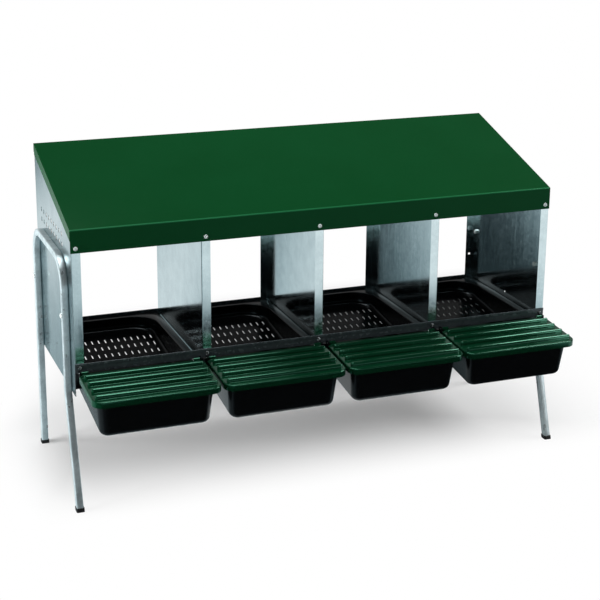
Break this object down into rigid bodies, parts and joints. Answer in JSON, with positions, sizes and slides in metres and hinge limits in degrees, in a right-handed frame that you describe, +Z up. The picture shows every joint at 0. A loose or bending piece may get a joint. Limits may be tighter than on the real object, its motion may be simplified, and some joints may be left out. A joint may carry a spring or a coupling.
{
  "type": "chicken nesting box",
  "caption": "Free-standing roll-away hen nest row: sheet-metal panels under a sloping roof, slotted trays with hinged ribbed egg lids, on bent square-tube legs.",
  "frame": {"origin": "on the floor, under the middle of the overall box", "axes": "+X along the row to the right as seen from the egg lids, +Y from the lids to the back, +Z up"},
  "size_m": [1.158, 0.5284, 0.7197],
  "materials": {
    "roof_green": "satin dark green paint on sheet steel",
    "galvanised": "galvanised sheet, half bright",
    "dark_strip": "dark rolled steel strip",
    "tube_steel": "galvanised square tube",
    "tray_black": "black moulded plastic",
    "lid_green": "glossy green moulded plastic",
    "cap_black": "black moulded plastic",
    "zinc": "bright zinc plate"
  },
  "bodies": {
    "frame": {"roof": "roof_green", "end_panel_left": "galvanised", "end_panel_right": "galvanised", "front_bar": "dark_strip", "rear_rail": "dark_strip", "leg_frame_left": "tube_steel", "leg_frame_right": "tube_steel", "roof_screws": "zinc", "bar_screws": "zinc", "rear_screws": "zinc", "leg_bolts": "zinc", "leg_nuts": "zinc", "partition_1": "galvanised", "partition_2": "galvanised", "partition_3": "galvanised", "tray_runners_1": "galvanised", "tray_runners_2": "galvanised", "tray_runners_3": "galvanised", "tray_runners_4": "galvanised", "foot_cap_front_left": "cap_black", "foot_cap_front_right": "cap_black", "foot_cap_rear_left": "cap_black", "foot_cap_rear_right": "cap_black"},
    "tray_1": {"nest_tray_1": "tray_black", "lid_pins_1": "zinc"},
    "lid_1": {"egg_lid_1": "lid_green"},
    "tray_2": {"nest_tray_2": "tray_black", "lid_pins_2": "zinc"},
    "lid_2": {"egg_lid_2": "lid_green"},
    "tray_3": {"nest_tray_3": "tray_black", "lid_pins_3": "zinc"},
    "lid_3": {"egg_lid_3": "lid_green"},
    "tray_4": {"nest_tray_4": "tray_black", "lid_pins_4": "zinc"},
    "lid_4": {"egg_lid_4": "lid_green"}
  },
  "joints": [
    {"name": "tray_slide_1", "type": "slide", "parent": "frame", "child": "tray_1", "axis": [0, -1, 0], "range_m": [0, 0.3]},
    {"name": "lid_hinge_1", "type": "hinge", "parent": "tray_1", "child": "lid_1", "pos_m": [-0.42, -0.11719, 0.30324], "axis": [-1, 0, 0], "range_deg": [0, 95]},
    {"name": "tray_slide_2", "type": "slide", "parent": "frame", "child": "tray_2", "axis": [0, -1, 0], "range_m": [0, 0.3]},
    {"name": "lid_hinge_2", "type": "hinge", "parent": "tray_2", "child": "lid_2", "pos_m": [-0.14, -0.11719, 0.30324], "axis": [-1, 0, 0], "range_deg": [0, 95]},
    {"name": "tray_slide_3", "type": "slide", "parent": "frame", "child": "tray_3", "axis": [0, -1, 0], "range_m": [0, 0.3]},
    {"name": "lid_hinge_3", "type": "hinge", "parent": "tray_3", "child": "lid_3", "pos_m": [0.14, -0.11719, 0.30324], "axis": [-1, 0, 0], "range_deg": [0, 95]},
    {"name": "tray_slide_4", "type": "slide", "parent": "frame", "child": "tray_4", "axis": [0, -1, 0], "range_m": [0, 0.3]},
    {"name": "lid_hinge_4", "type": "hinge", "parent": "tray_4", "child": "lid_4", "pos_m": [0.42, -0.11719, 0.30324], "axis": [-1, 0, 0], "range_deg": [0, 95]}
  ]
}
